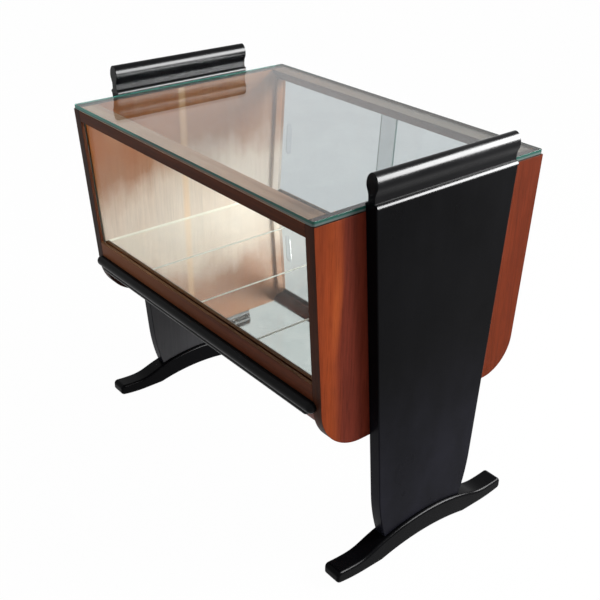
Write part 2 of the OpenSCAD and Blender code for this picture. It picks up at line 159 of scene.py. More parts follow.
def top_rail_section(grooves):
    """Section of the front top rail, chamfered underneath, with its grooves' corners."""
    return ([(-HALF_DEPTH, TOP_Z), (-half_depth(SEAT_Z), SEAT_Z)] + grooves
            + [(-half_depth(SEAT_Z) + RAIL_SEAT, SEAT_Z),
               (-TOP_INNER_Y, TOP_Z - RAIL_LIP), (-TOP_INNER_Y, TOP_Z)])


def bottom_rail_section(grooves):
    """Section of the front bottom rail, with its grooves' corners in its ledge."""
    return ([(-half_depth(LEDGE_Z), LEDGE_Z), (-half_depth(RAIL_FOOT_Z), RAIL_FOOT_Z),
             (-LEDGE_INNER_Y, RAIL_FOOT_Z), (-LEDGE_INNER_Y, LEDGE_Z)] + grooves[::-1])


def shell_section():
    """The bent bottom: the case's outline below the rails, with an inner face."""
    outer = case_outline(SHELL_INSET, RAIL_FOOT_Z)
    inner = case_outline(SHELL_INSET + SHELL_THICKNESS, RAIL_FOOT_Z)
    return outer + inner[::-1]


foot_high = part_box("right_foot")[1]
FOOT_HEIGHT, FOOT_HALF = foot_high.z, foot_high.y
hump_end_y = HUMP_RADIUS * math.sin(HUMP_SLOPE)
hollow_y = hump_end_y + HOLLOW_RADIUS * math.sin(HUMP_SLOPE)
hollow_z = FOOT_HEIGHT - (HUMP_RADIUS + HOLLOW_RADIUS) * (1 - math.cos(HUMP_SLOPE))


def foot_top(y):
    """Height of the foot's upper edge, over the hump and into the hollow."""
    y = abs(y)
    if y < hump_end_y:
        return FOOT_HEIGHT - HUMP_RADIUS + math.sqrt(HUMP_RADIUS ** 2 - y * y)
    return hollow_z + HOLLOW_RADIUS - math.sqrt(HOLLOW_RADIUS ** 2 - min(0, y - hollow_y) ** 2)


def foot_outline():
    """The foot from its side: hump, hollows, rounded toes and the arch under it."""
    toe_y = FOOT_HALF - TOE_RADIUS
    rise = math.asin((toe_y - hollow_y) / (TOE_RISE_RADIUS + TOE_RADIUS))
    lift = math.asin((toe_y - TOE_LIFT_Y) / (TOE_LIFT_RADIUS - TOE_RADIUS))
    upper_z = hollow_z + TOE_RISE_RADIUS - (TOE_RISE_RADIUS + TOE_RADIUS) * math.cos(rise)
    lower_z = TOE_LIFT_RADIUS - (TOE_LIFT_RADIUS - TOE_RADIUS) * math.cos(lift)
    side = (arc((0, FOOT_HEIGHT - HUMP_RADIUS), HUMP_RADIUS, RIGHT, RIGHT - HUMP_SLOPE)
            + arc((hollow_y, hollow_z + HOLLOW_RADIUS), HOLLOW_RADIUS,
                  3 * RIGHT - HUMP_SLOPE, 3 * RIGHT, 14)[1:]
            + arc((hollow_y, hollow_z + TOE_RISE_RADIUS), TOE_RISE_RADIUS,
                  3 * RIGHT, 3 * RIGHT + rise, 10)[1:]
            + arc((toe_y, upper_z), TOE_RADIUS, RIGHT + rise, 0, 12)
            + arc((toe_y, lower_z), TOE_RADIUS, 0, lift - RIGHT, 12)
            + arc((TOE_LIFT_Y, TOE_LIFT_RADIUS), TOE_LIFT_RADIUS,
                  3 * RIGHT + lift, 3 * RIGHT, 12)[1:])
    arch_radius = (ARCH_SPAN ** 2 / 4 + ARCH_HEIGHT ** 2) / (2 * ARCH_HEIGHT)
    half = math.asin(ARCH_SPAN / 2 / arch_radius)
    arch = arc((0, ARCH_HEIGHT - arch_radius), arch_radius, RIGHT - half, RIGHT + half)
    return side + arch + mirrored(side)


standard_low, standard_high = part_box("right_standard")


def standard_outline():
    """The standard from its side: tapered edges that sweep inwards down to the foot's hump."""
    top = standard_high.z
    sweep_y = standard_high.y - (top - SWEEP_Z) * math.tan(TAPER)
    centre = (sweep_y - SWEEP_RADIUS * math.cos(TAPER), SWEEP_Z + SWEEP_RADIUS * math.sin(TAPER))
    near, far = TAPER, math.asin((centre[1] - hollow_z) / SWEEP_RADIUS)
    for _ in range(40):  # halves the stretch of the sweep in which it meets the hump
        middle = (near + far) / 2
        y = centre[0] + SWEEP_RADIUS * math.cos(middle)
        z = centre[1] - SWEEP_RADIUS * math.sin(middle)
        near, far = (middle, far) if z > foot_top(y) else (near, middle)
    side = [(standard_high.y, top)] + arc(centre, SWEEP_RADIUS, -TAPER, -near)
    hump_y = [side[-1][0] * (1 - i / 16) for i in range(1, 32)]
    return side + [(y, foot_top(y)) for y in hump_y] + mirrored(side)


handle_low, handle_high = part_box("right_handle")


def handle_section():
    """The rolled handle across its grip: a flare at the base, a waisted neck and a round bulb."""
    base = standard_high.x - standard_low.x
    height = handle_high.z - handle_low.z
    flare = (base / 2 + BASE_PROUD - BASE_ROUND * math.cos(BASE_LOW_SLOPE),
             BASE_LIFT - BASE_ROUND * math.sin(BASE_LOW_SLOPE))
    side = [(base / 2, 0.0)] + arc(flare, BASE_ROUND, BASE_LOW_SLOPE, BASE_HIGH_SLOPE, 12)
    side.append((NECK_WIDTH / 2, side[-1][1] + BASE_LIFT))
    for i in range(20):
        a = math.pi * i / 20
        side.append((NECK_WIDTH / 2 + (GRIP_WIDTH - NECK_WIDTH) / 4 * (1 - math.cos(a)),
                     NECK_Z + (GRIP_Z - NECK_Z) * i / 20))
    for i in range(24):
        a = RIGHT * i / 23
        side.append((GRIP_WIDTH / 2 * math.cos(a), GRIP_Z + (height - GRIP_Z) * math.sin(a)))
    return side + mirrored(side)[1:]


# ---------- making meshes ----------

def section_tree():
    """Geometry Nodes: a section's face run out along a vector into a closed piece of one finish."""
    tree = bpy.data.node_groups.new("Extruded section", "GeometryNodeTree")
    face = tree.interface
    face.new_socket("Section", in_out="INPUT", socket_type="NodeSocketGeometry")
    face.new_socket("Run", in_out="INPUT", socket_type="NodeSocketVector")
    face.new_socket("Finish", in_out="INPUT", socket_type="NodeSocketMaterial")
    face.new_socket("Piece", in_out="OUTPUT", socket_type="NodeSocketGeometry")
    start, end = tree.nodes.new("NodeGroupInput"), tree.nodes.new("NodeGroupOutput")
    run_out = tree.nodes.new("GeometryNodeExtrudeMesh")
    run_out.mode = "FACES"
    run_out.inputs["Individual"].default_value = False
    other_end = tree.nodes.new("GeometryNodeFlipFaces")
    both = tree.nodes.new("GeometryNodeJoinGeometry")
    weld = tree.nodes.new("GeometryNodeMergeByDistance")
    weld.inputs["Distance"].default_value = WELD
    real = tree.nodes.new("GeometryNodeRealizeInstances")
    coat = tree.nodes.new("GeometryNodeSetMaterial")
    link = tree.links.new
    link(start.outputs["Section"], run_out.inputs["Mesh"])
    link(start.outputs["Run"], run_out.inputs["Offset"])
    link(start.outputs["Section"], other_end.inputs["Mesh"])
    link(run_out.outputs["Mesh"], both.inputs["Geometry"])
    link(other_end.outputs["Mesh"], both.inputs["Geometry"])
    link(both.outputs["Geometry"], weld.inputs["Geometry"])
    link(weld.outputs["Geometry"], real.inputs["Geometry"])
    link(real.outputs["Geometry"], coat.inputs["Geometry"])
    link(start.outputs["Finish"], coat.inputs["Material"])
    link(coat.outputs["Geometry"], end.inputs["Piece"])
    return tree


def row_tree():
    """Geometry Nodes: a tile repeated along X, its sides and bevels given an edge finish."""
    tree = bpy.data.node_groups.new("Row of tiles", "GeometryNodeTree")
    face = tree.interface
    face.new_socket("Tile", in_out="INPUT", socket_type="NodeSocketGeometry")
    face.new_socket("Count", in_out="INPUT", socket_type="NodeSocketInt")
    face.new_socket("Pitch", in_out="INPUT", socket_type="NodeSocketVector")
    face.new_socket("Finish", in_out="INPUT", socket_type="NodeSocketMaterial")
    face.new_socket("Edge finish", in_out="INPUT", socket_type="NodeSocketMaterial")
    face.new_socket("Row", in_out="OUTPUT", socket_type="NodeSocketGeometry")
    start, end = tree.nodes.new("NodeGroupInput"), tree.nodes.new("NodeGroupOutput")
    line = tree.nodes.new("GeometryNodeMeshLine")
    place = tree.nodes.new("GeometryNodeInstanceOnPoints")
    real = tree.nodes.new("GeometryNodeRealizeInstances")
    silver = tree.nodes.new("GeometryNodeSetMaterial")
    edge = tree.nodes.new("GeometryNodeSetMaterial")
    normal = tree.nodes.new("GeometryNodeInputNormal")
    split = tree.nodes.new("ShaderNodeSeparateXYZ")
    off_flat = tree.nodes.new("FunctionNodeCompare")
    off_flat.operation = "LESS_THAN"
    off_flat.inputs["B"].default_value = FLAT_ON
    link = tree.links.new
    link(start.outputs["Count"], line.inputs["Count"])
    link(start.outputs["Pitch"], line.inputs["Offset"])
    link(line.outputs["Mesh"], place.inputs["Points"])
    link(start.outputs["Tile"], place.inputs["Instance"])
    link(place.outputs["Instances"], real.inputs["Geometry"])
    link(real.outputs["Geometry"], silver.inputs["Geometry"])
    link(start.outputs["Finish"], silver.inputs["Material"])
    link(silver.outputs["Geometry"], edge.inputs["Geometry"])
    link(normal.outputs["Normal"], split.inputs["Vector"])
    link(split.outputs["Z"], off_flat.inputs["A"])
    link(off_flat.outputs["Result"], edge.inputs["Selection"])
    link(start.outputs["Edge finish"], edge.inputs["Material"])
    link(edge.outputs["Geometry"], end.inputs["Row"])
    return tree


SECTION_TREE, ROW_TREE = section_tree(), row_tree()


def add_nodes(piece, tree, values):
    """Puts a Geometry Nodes tree on a piece, with its inputs set by socket."""
    modifier = piece.modifiers.new("Shape", "NODES")
    modifier.node_group = tree
    sockets = {s.name: s.identifier for s in tree.interface.items_tree if s.in_out == "INPUT"}
    for name, value in values.items():
        modifier[sockets[name]] = value


def settle(piece):
    """Turns a piece's modifiers into its plain mesh."""
    bpy.context.view_layer.update()
    evaluated = piece.evaluated_get(bpy.context.evaluated_depsgraph_get())
    mesh = bpy.data.meshes.new_from_object(evaluated)
    mesh.name = piece.name
    piece.modifiers.clear()
    old = piece.data
    piece.data = mesh
    bpy.data.meshes.remove(old)


def new_piece(name, mesh):
    """Puts a mesh in the scene under a name."""
    piece = bpy.data.objects.new(name, mesh)
    bpy.context.scene.collection.objects.link(piece)
    return piece


def smooth(piece, sharp=35):
    """Smooth shading that keeps flat faces flat and leaves edges over an angle sharp."""
    mesh = piece.data
    mesh.polygons.foreach_set("use_smooth", [True] * len(mesh.polygons))
    mesh.set_sharp_from_angle(angle=math.radians(sharp))
    piece.modifiers.new("Shading", "WEIGHTED_NORMAL").keep_sharp = True
    settle(piece)


def outward(mesh):
    """Turns a closed mesh's faces outwards."""
    shape = bmesh.new()
    shape.from_mesh(mesh)
    bmesh.ops.recalc_face_normals(shape, faces=shape.faces)
    shape.to_mesh(mesh)
    shape.free()


def ease(piece, width, segments=3, limit=30, clamp=True, chosen=None):
    """Rounds the edges sharper than an angle in degrees, or those whose two ends pass a test."""
    bevel = piece.modifiers.new("Eased edges", "BEVEL")
    bevel.width, bevel.segments = width, segments
    bevel.limit_method, bevel.angle_limit = "ANGLE", math.radians(limit)
    bevel.use_clamp_overlap = clamp
    bevel.miter_outer = "MITER_SHARP"
    if chosen:
        bevel.limit_method = "WEIGHT"
        points = piece.data.vertices
        weights = piece.data.attributes.new("bevel_weight_edge", "FLOAT", "EDGE").data
        for edge in piece.data.edges:
            start, end = (points[i].co for i in edge.vertices)
            weights[edge.index].value = 1.0 if chosen(start, end) else 0.0


def cut_out(piece, cutter):
    """Cuts a shape out of a piece."""
    cut = piece.modifiers.new("Groove", "BOOLEAN")
    cut.operation, cut.solver, cut.object = "DIFFERENCE", "EXACT", cutter
    settle(piece)
    bpy.data.objects.remove(cutter)


def prism(name, outline, axis, low, high, finish):
    """A piece of constant section. The outline is (Y, Z) for a run along X, (X, Z) along Y
    and (X, Y) along Z."""
    place = {"X": lambda p: (low, p[0], p[1]), "Y": lambda p: (p[0], low, p[1]),
             "Z": lambda p: (p[0], p[1], low)}[axis]
    mesh = bpy.data.meshes.new(name)
    mesh.from_pydata([place(p) for p in outline], [], [range(len(outline))])
    piece = new_piece(name, mesh)
    run = [high - low if a == axis else 0.0 for a in "XYZ"]
    add_nodes(piece, SECTION_TREE, {"Run": run, "Finish": finish})
    settle(piece)
    outward(piece.data)
    return piece


def from_cad(name, *nodes):
    """A merged copy of CAD nodes, its flat faces joined, to be finished as one piece."""
    shape = bmesh.new()
    for node in nodes:
        shape.from_mesh(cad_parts[node].data)
    bmesh.ops.remove_doubles(shape, verts=shape.verts, dist=WELD)
    bmesh.ops.dissolve_limit(shape, angle_limit=math.radians(0.2), verts=shape.verts,
                             edges=shape.edges)
    mesh = bpy.data.meshes.new(name)
    shape.to_mesh(mesh)
    shape.free()
    mesh.materials.clear()
    return new_piece(name, mesh)


def paint(piece, finishes, choose=lambda face: 0):
    """Gives a piece its finishes, one chosen for each face."""
    piece.data.materials.clear()
    for finish in finishes:
        piece.data.materials.append(finish)
    for face in piece.data.polygons:
        face.material_index = choose(face)


def belongs(piece, body, slot, *nodes):
    """Puts a piece under the body it moves with and hides the nodes it stands for. The finish slot
    is not used.
    """
    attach(piece, body)
    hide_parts(*nodes)


# ---------- finishes ----------

def linear(*colour):
    """A colour given in screen values from 0 to 255, as the shaders take it."""
    return tuple((c / 255 / 12.92 if c <= 10.31 else ((c / 255 + 0.055) / 1.055) ** 2.4)
                 for c in colour) + (1.0,)


def toned(colour, factor=1.0):
    """A shader colour made darker or lighter."""
    return tuple(c * factor for c in colour[:3]) + (1.0,)


class Mixer:
    """A new finish and short ways to add its nodes."""

    def __init__(self, name):
        self.material = bpy.data.materials.new(name)
        self.material.use_nodes = True
        self.tree = self.material.node_tree
        self.tree.nodes.clear()
        self.out = self.tree.nodes.new("ShaderNodeOutputMaterial")
        self.place = self.add("TexCoord").outputs["Object"]

    def add(self, kind, inputs=None, **settings):
        node = self.tree.nodes.new("ShaderNode" + kind)
        for name, value in settings.items():
            setattr(node, name, value)
        for name, value in (inputs or {}).items():
            if isinstance(value, bpy.types.NodeSocket):
                self.tree.links.new(value, node.inputs[name])
            else:
                node.inputs[name].default_value = value
        return node

    def stretched(self, scale, shift=(0, 0, 0)):
        """Object coordinates scaled for a pattern, and shifted between pieces."""
        return self.add("Mapping", {"Vector": self.place, "Scale": scale,
                                    "Location": shift}).outputs[0]

    def noise(self, vector, detail=4.0, roughness=0.55, distortion=0.0):
        return self.add("TexNoise", {"Vector": vector, "Scale": 1.0, "Detail": detail,
                                     "Roughness": roughness, "Distortion": distortion}).outputs[0]

    def ramp(self, value, *stops):
        """A colour ramp through stops of a position and a colour or a grey."""
        node = self.add("ValToRGB", {0: value})
        marks = node.color_ramp.elements
        while len(marks) < len(stops):
            marks.new(0.5)
        for mark, (position, colour) in zip(marks, stops):
            mark.position = position
            mark.color = colour if isinstance(colour, tuple) else (colour, colour, colour, 1)
        return node.outputs[0]

    def maths(self, operation, result, *others):
        """An operation on one value, or carried on through several."""
        for other in others or (0.0,):
            result = self.add("Math", {0: result, 1: other}, operation=operation).outputs[0]
        return result

    def sway(self, noise, reach):
        """A noise turned into a swing about zero."""
        return self.maths("MULTIPLY", self.maths("SUBTRACT", noise, 0.5), reach)

    def span(self, value, low, high, new_low=0.0, new_high=1.0, smooth_step=True):
        """A value carried from one range to another and held at its ends."""
        kind = "SMOOTHSTEP" if smooth_step else "LINEAR"
        return self.add("MapRange", {0: value, 1: low, 2: high, 3: new_low, 4: new_high},
                        interpolation_type=kind).outputs[0]

    def mix(self, factor, a, b, blend="MIX"):
        return self.add("Mix", {0: factor, 6: a, 7: b}, data_type="RGBA",
                        blend_type=blend).outputs[2]

    def axes(self):
        return self.add("SeparateXYZ", {0: self.place}).outputs

    def behind_front(self):
        """Distance in Y behind the case's leaning front face."""
        _, y, z = self.axes()
        straightened = self.maths("ADD", y, self.maths("MULTIPLY", z, math.tan(LEAN)))
        return self.maths("SUBTRACT", straightened, TOP_Z * math.tan(LEAN) - HALF_DEPTH)

    def bump(self, height, strength, distance):
        return self.add("Bump", {"Height": height, "Strength": strength,
                                 "Distance": distance}).outputs[0]

    def principled(self, inputs):
        return self.add("BsdfPrincipled", inputs).outputs[0]

    def done(self, shader):
        self.tree.links.new(shader, self.out.inputs["Surface"])
        return self.material


ALONG_X, ALONG_Y, ALONG_Z = (0.05, 1, 1), (1, 0.05, 1), (1, 1, 0.035)  # the fibres' way
BANDS, FIBRES, PORES = 38, 330, 900  # fineness of each part of the figure, across the fibres
WOOD_IOR, VENEER_IOR = 1.12, 1.1  # low, so that a pale room doesn't grey the dark woods
LEFT_START_X, LEFT_FULL_X, LEFT_MOST = 0.15, -0.3, 0.75  # where a rail's colour starts to change towards the left, where it is full, and its share


def grain(finish, run, shift=(0, 0, 0)):
    """Wood figure for boards whose fibres follow one axis: broad bands, fine fibres, pores."""
    def along(scale):
        return finish.stretched(tuple(scale * a for a in run), shift)
    bands = finish.noise(along(BANDS), detail=3, roughness=0.5, distortion=0.5)
    fibres = finish.noise(along(FIBRES), detail=5, roughness=0.7)
    pores = finish.noise(along(PORES), detail=2, roughness=0.5)
    return bands, fibres, pores


def wood(name, dark, middle, light, run, gloss=0.42, left_colour=None):
    """Polished wood with its fibres along one axis, and a colour it turns to towards the left."""
    finish = Mixer(name)
    bands, fibres, pores = grain(finish, run)
    figure = finish.maths("ADD", finish.maths("MULTIPLY", bands, 0.62),
                          finish.maths("MULTIPLY", fibres, 0.38))
    colour = finish.ramp(figure, (0.34, linear(*dark)), (0.5, linear(*middle)),
                         (0.66, linear(*light)))
    specks = finish.ramp(pores, (0.36, 0.62), (0.44, 1.0))
    colour = finish.mix(0.6, colour, specks, "MULTIPLY")
    if left_colour:
        leftward = finish.span(finish.axes()[0], LEFT_START_X, LEFT_FULL_X)
        colour = finish.mix(finish.maths("MULTIPLY", leftward, LEFT_MOST), colour, linear(*left_colour))
    shine = finish.span(fibres, 0.3, 0.7, gloss - 0.05, gloss + 0.06)
    return finish.done(finish.principled({
        "Base Color": colour, "Roughness": shine, "IOR": WOOD_IOR,
        "Normal": finish.bump(figure, 0.12, 0.0003)}))


VENEER_REACH = 0.48  # distance behind the front over which the veneer's colours run
GOLD_LINE, GOLD_HALF = 0.029, 0.012  # golden streak: distance behind the front, half width


def veneer(name, side):
    """Outside of an end panel: upright rosewood figure, paler at the front, with a golden
    streak there at half height, and red within."""
    finish = Mixer(name)
    shift = (side * 0.37, 0.11, 0.0)
    bands, fibres, pores = grain(finish, ALONG_Z, shift)
    height = finish.axes()[2]
    drift = finish.noise(finish.stretched((9, 9, 3.2), shift), detail=3)
    wander = finish.maths("ADD", finish.sway(bands, 0.035), finish.sway(drift, 0.02))
    across = finish.maths("SUBTRACT", finish.maths("ADD", finish.behind_front(), wander),
                          finish.span(height, 0.40, 0.62, 0.0, 0.018))
    body = finish.ramp(
        finish.span(across, 0.0, VENEER_REACH, smooth_step=False),
        (0.0, linear(128, 54, 25)), (0.035, linear(142, 62, 28)), (0.065, linear(124, 52, 29)),
        (0.09, linear(108, 45, 31)), (0.16, linear(104, 42, 29)), (0.6, linear(100, 38, 18)),
        (0.8, linear(106, 42, 18)), (1.0, linear(98, 37, 16)))
    figure = finish.ramp(fibres, (0.3, 0.72), (0.5, 1.0), (0.72, 1.16))
    colour = finish.mix(0.85, body, figure, "MULTIPLY")
    from_gold = finish.maths("ABSOLUTE", finish.maths("SUBTRACT", across, GOLD_LINE))
    gold = finish.maths("MULTIPLY", finish.span(from_gold, 0.001, GOLD_HALF, 1.0, 0.0),
                        finish.span(bands, 0.38, 0.6, 0.1, 1.0),
                        finish.span(height, 0.60, 0.52, 0.15, 0.5),
                        finish.span(height, 0.40, 0.50, 0.25, 1.0))
    colour = finish.mix(gold, colour, linear(184, 92, 42))
    streaks = finish.ramp(finish.noise(finish.stretched((150, 150, 2.2), shift), detail=2),
                          (0.34, 0.7), (0.5, 1.0))
    colour = finish.mix(0.35, colour, streaks, "MULTIPLY")
    patches = finish.noise(finish.stretched((26, 26, 7), shift), detail=4, distortion=0.6)
    clouds = finish.ramp(patches, (0.34, 0.86), (0.5, 1.0), (0.66, 1.1))
    colour = finish.mix(0.7, colour, clouds, "MULTIPLY")
    specks = finish.ramp(pores, (0.36, 0.6), (0.43, 1.0))
    colour = finish.mix(0.5, colour, specks, "MULTIPLY")
    shine = finish.span(fibres, 0.3, 0.7, 0.36, 0.46)
    return finish.done(finish.principled({
        "Base Color": colour, "Roughness": shine, "IOR": VENEER_IOR,
        "Normal": finish.bump(fibres, 0.1, 0.0002)}))


BROWN_Y, PALE_Y = -0.24, 0.02  # painted light: the lining pales from one to the other
BROWN_Z, PALE_Z = 0.58, 0.39  # and downwards
STRIP_Y = -0.021  # a paler upright strip on it
GLINT_LOW, GLINT_HIGH = 0.002, 0.0032  # painted highlight, a pale line over the mirror: full to one, gone by the other


def lining(name):
    """Inside of the case's ends: pale fibres, with painted light that turns them from brown high at
    the front to pale low at the back, darker wood outside the front pane, and painted shade under
    the floor."""
    finish = Mixer(name)
    bands, fibres, _ = grain(finish, ALONG_Z, (0.2, 0.7, 0.1))
    _, depth, height = finish.axes()
    back = finish.span(depth, BROWN_Y, PALE_Y)
    low = finish.span(height, BROWN_Z, PALE_Z)
    cloud = finish.noise(finish.stretched((14, 14, 9), (0.3, 0, 0)), detail=4)
    # painted light: paler towards the back and low down, where light through the back panes and off
    # the mirror floor falls
    painted_light = finish.maths("ADD", finish.maths("MULTIPLY", back, 0.20),
                        finish.maths("MULTIPLY", low, 0.69),
                        finish.sway(cloud, 0.5), finish.sway(bands, 0.25))
    body = finish.ramp(painted_light, (0.0, linear(155, 89, 45)), (0.3, linear(165, 115, 81)),
                       (0.65, linear(222, 200, 181)), (1.0, linear(228, 212, 197)))
    figure = finish.ramp(fibres, (0.3, 0.84), (0.5, 1.0), (0.7, 1.07))
    colour = finish.mix(0.8, body, figure, "MULTIPLY")
    from_strip = finish.maths("ABSOLUTE", finish.maths("SUBTRACT", depth, STRIP_Y))
    strip = finish.span(from_strip, 0.003, 0.011, 1.0, 0.0)
    colour = finish.mix(finish.maths("MULTIPLY", strip, 0.42), colour, linear(242, 200, 152))
    # painted highlight: a pale line on the wall just over the mirror floor
    painted_glint = finish.span(height, MIRROR_Z + GLINT_HIGH, MIRROR_Z + GLINT_LOW, 0.0, 0.8)
    colour = finish.mix(painted_glint, colour, linear(255, 252, 238))
    outside = finish.span(finish.behind_front(), FRONT_SET + 0.001, FRONT_SET - 0.001)
    colour = finish.mix(outside, colour, linear(84, 46, 30))
    # painted shade: the lining is dark below the floor, under the case
    under_floor = finish.span(height, RAIL_FOOT_Z + 0.004, RAIL_FOOT_Z)
    colour = finish.mix(under_floor, colour, linear(48, 25, 17))
    return finish.done(finish.principled({
        "Base Color": colour, "Roughness": finish.span(fibres, 0.3, 0.7, 0.34, 0.44),
        "IOR": VENEER_IOR, "Normal": finish.bump(fibres, 0.08, 0.0002)}))


REFLECTION_TOP_Z, REFLECTION_FULL_Z, REFLECTION_MOST = 0.42, 0.06, 0.0065  # heights the painted floor reflection grows between, strength


def lacquer(name, colour, roughness, ior, brushed=0.0, low_floor_reflection=False):
    """Black lacquer over fine upright fibres that just show through. It may have a painted
    reflection of the floor, a cloudy blue-grey that grows downwards."""
    finish = Mixer(name)
    fibres = finish.noise(finish.stretched((420, 420, 9)), detail=4, roughness=0.6)
    clouds = finish.noise(finish.stretched((11, 11, 7)), detail=3)
    tone = finish.ramp(finish.maths("ADD", finish.maths("MULTIPLY", fibres, 0.5),
                                    finish.maths("MULTIPLY", clouds, 0.5)),
                       (0.35, toned(colour, 0.75)), (0.65, toned(colour, 1.3)))
    # painted reflection: a blue-grey of the pale floor, stronger low down
    if low_floor_reflection:
        painted_reflection = finish.maths("MULTIPLY", finish.span(finish.axes()[2], REFLECTION_TOP_Z, REFLECTION_FULL_Z,
                                                     0.0, REFLECTION_MOST),
                             finish.span(clouds, 0.35, 0.65, 0.7, 1.35))
        reflection_tint = finish.add("CombineColor", {0: painted_reflection, 1: painted_reflection,
                                           2: finish.maths("MULTIPLY", painted_reflection, 1.6)})
        tone = finish.mix(1.0, tone, reflection_tint.outputs[0], "ADD")
    shine = finish.span(clouds, 0.3, 0.7, roughness - 0.03, roughness + 0.04)
    return finish.done(finish.principled({
        "Base Color": tone, "Roughness": shine, "IOR": ior,
        "Normal": finish.bump(fibres, brushed, 0.0001)}))


def glass(name, tint, ior, shade, roughness=0.0):
    """Clear glass with faint smudges, which lets lamplight through to what it covers."""
    finish = Mixer(name)
    smudge = finish.noise(finish.stretched((16, 16, 16)), detail=5, roughness=0.6)
    tone = finish.mix(finish.span(smudge, 0.35, 0.7), toned(tint, 0.97), toned(tint))
    body = finish.principled({"Base Color": tone, "Roughness": roughness, "IOR": ior,
                              "Transmission Weight": 1.0})
    open_way = finish.add("BsdfTransparent", {"Color": toned(shade)}).outputs[0]
    path = finish.add("LightPath").outputs["Is Shadow Ray"]
    return finish.done(finish.add("MixShader", {0: path, 1: body, 2: open_way}).outputs[0])


EDGE_TURN = 0.004  # height in the plate's edge at which the painted reflection of the wood turns to green


def plate_edge():
    """The top glass's polished edge: green by its depth, and brighter to the left as painted light,
    with a painted reflection of the wood in the ground arris below it."""
    finish = Mixer("top_plate_edge")
    across, _, height = finish.axes()
    wander = finish.noise(finish.stretched((9, 9, 60)), detail=4)
    along = finish.maths("ADD", finish.span(across, -CASE_X, CASE_X, smooth_step=False),
                         finish.sway(wander, 0.4))
    # painted light: the green is brighter to the left
    deep = finish.ramp(along, (0.0, linear(70, 150, 136)), (0.22, linear(62, 130, 118)),
                       (0.4, linear(40, 82, 74)), (1.0, linear(38, 86, 76)))
    # painted reflection: the brown of the wood, seen in the lower part of the edge
    wood_reflection = finish.ramp(along, (0.05, linear(58, 116, 106)), (0.35, linear(96, 84, 70)),
                        (0.8, linear(116, 92, 76)), (0.97, linear(92, 108, 104)))
    upper = finish.span(height, TOP_Z + EDGE_TURN - 0.0006, TOP_Z + EDGE_TURN + 0.0006)
    return finish.done(finish.principled({
        "Base Color": finish.mix(upper, wood_reflection, deep), "Roughness": 0.14, "IOR": 1.25,
        "Normal": finish.bump(wander, 0.2, 0.0002)}))


DULL_X, BRIGHT_X = 0.22, -0.16  # painted light: the mirror floor brightens from one to the other


def silvering():
    """The mirror floor's face: silvering made brighter and partly dull to the left, painted light
    that brightens what it shows there, over a faint random dull film."""
    finish = Mixer("mirror_silver")
    film = finish.noise(finish.stretched((22, 22, 22)), detail=6, roughness=0.65)
    tone = finish.mix(finish.span(film, 0.35, 0.7), (0.72, 0.75, 0.72, 1), (0.80, 0.82, 0.79, 1))
    # painted light: brighter and duller to the left, so that the floor shows brighter there
    to_left = finish.span(finish.axes()[0], DULL_X, BRIGHT_X)
    tone = finish.mix(to_left, tone, (0.97, 0.98, 0.95, 1))
    dull_share = finish.maths("ADD", finish.maths("MULTIPLY", to_left, 0.15),
                        finish.span(film, 0.4, 0.7, 0.0, 0.06))
    return finish.done(finish.principled({
        "Base Color": tone, "Metallic": finish.maths("SUBTRACT", 1.0, dull_share),
        "Roughness": finish.span(film, 0.35, 0.75, 0.012, 0.05), "Specular IOR Level": 0.2}))


def plain(name, colour, roughness, metallic=0.0):
    """A plain finish with slight clouding."""
    finish = Mixer(name)
    cloud = finish.noise(finish.stretched((60, 60, 60)), detail=4)
    tone = finish.mix(finish.span(cloud, 0.3, 0.7), toned(colour, 0.85), colour)
    shine = finish.span(cloud, 0.3, 0.7, roughness - 0.04, roughness + 0.05)
    return finish.done(finish.principled({
        "Base Color": tone, "Roughness": shine, "Metallic": metallic,
        "Specular IOR Level": 0.4, "Normal": finish.bump(cloud, 0.08, 0.0002)}))


rosewood_right = veneer("rosewood_veneer_right", 1)
rosewood_left = veneer("rosewood_veneer_left", -1)
lining_wood = lining("pale_lining")

# Woods: darkest, middle and lightest colour in screen values, and the way of their fibres
edge_wood = wood("panel_edge_wood", (40, 20, 13), (60, 32, 21), (80, 45, 30), ALONG_Z)
rail_wood = wood("dark_rail_wood", (58, 29, 17), (77, 40, 24), (99, 54, 34), ALONG_X)
low_rail_wood = wood("low_rail_wood", (60, 28, 16), (80, 40, 24), (102, 54, 34), ALONG_X,
                     left_colour=(140, 88, 58))
# painted light: the next three are lighter copies for the faces of the rails that look up, where
# more light falls
front_top_wood = wood("front_rail_top_wood", (184, 132, 98), (212, 164, 128), (228, 186, 152),
                      ALONG_X, 0.5)
back_top_wood = wood("back_rail_top_wood", (122, 106, 92), (140, 126, 112), (156, 144, 128),
                     ALONG_X, 0.5, left_colour=(150, 108, 78))
ledge_wood = wood("ledge_wood", (88, 58, 38), (112, 77, 52), (130, 92, 64), ALONG_X, 0.36)
shell_wood = wood("shell_wood", (70, 32, 24), (96, 44, 32), (118, 58, 40), ALONG_X)
carcass_wood = wood("carcass_wood", (176, 138, 96), (196, 160, 116), (212, 180, 136),
                    ALONG_Y, 0.6)
dowel_wood = wood("dowel_wood", (190, 152, 104), (206, 170, 124), (220, 188, 144), ALONG_X, 0.6)

# Lacquers: colour, roughness and how strongly they mirror
slab_lacquer = lacquer("standard_lacquer", (0.0022, 0.0022, 0.0028), 0.30, 1.1, brushed=0.03,
                       low_floor_reflection=True)
# painted reflection: a grey lacquer for the standards' inner faces, where the black shows the pale
# floor
inner_lacquer = lacquer("standard_inner_lacquer", (0.030, 0.030, 0.033), 0.34, 1.3,
                        brushed=0.05)
roll_lacquer = lacquer("handle_lacquer", (0.002, 0.002, 0.0028), 0.21, 1.19)
foot_lacquer = lacquer("foot_lacquer", (0.002, 0.002, 0.0026), 0.24, 1.11)
moulding_lacquer = lacquer("moulding_lacquer", (0.004, 0.004, 0.0045), 0.32, 1.15)

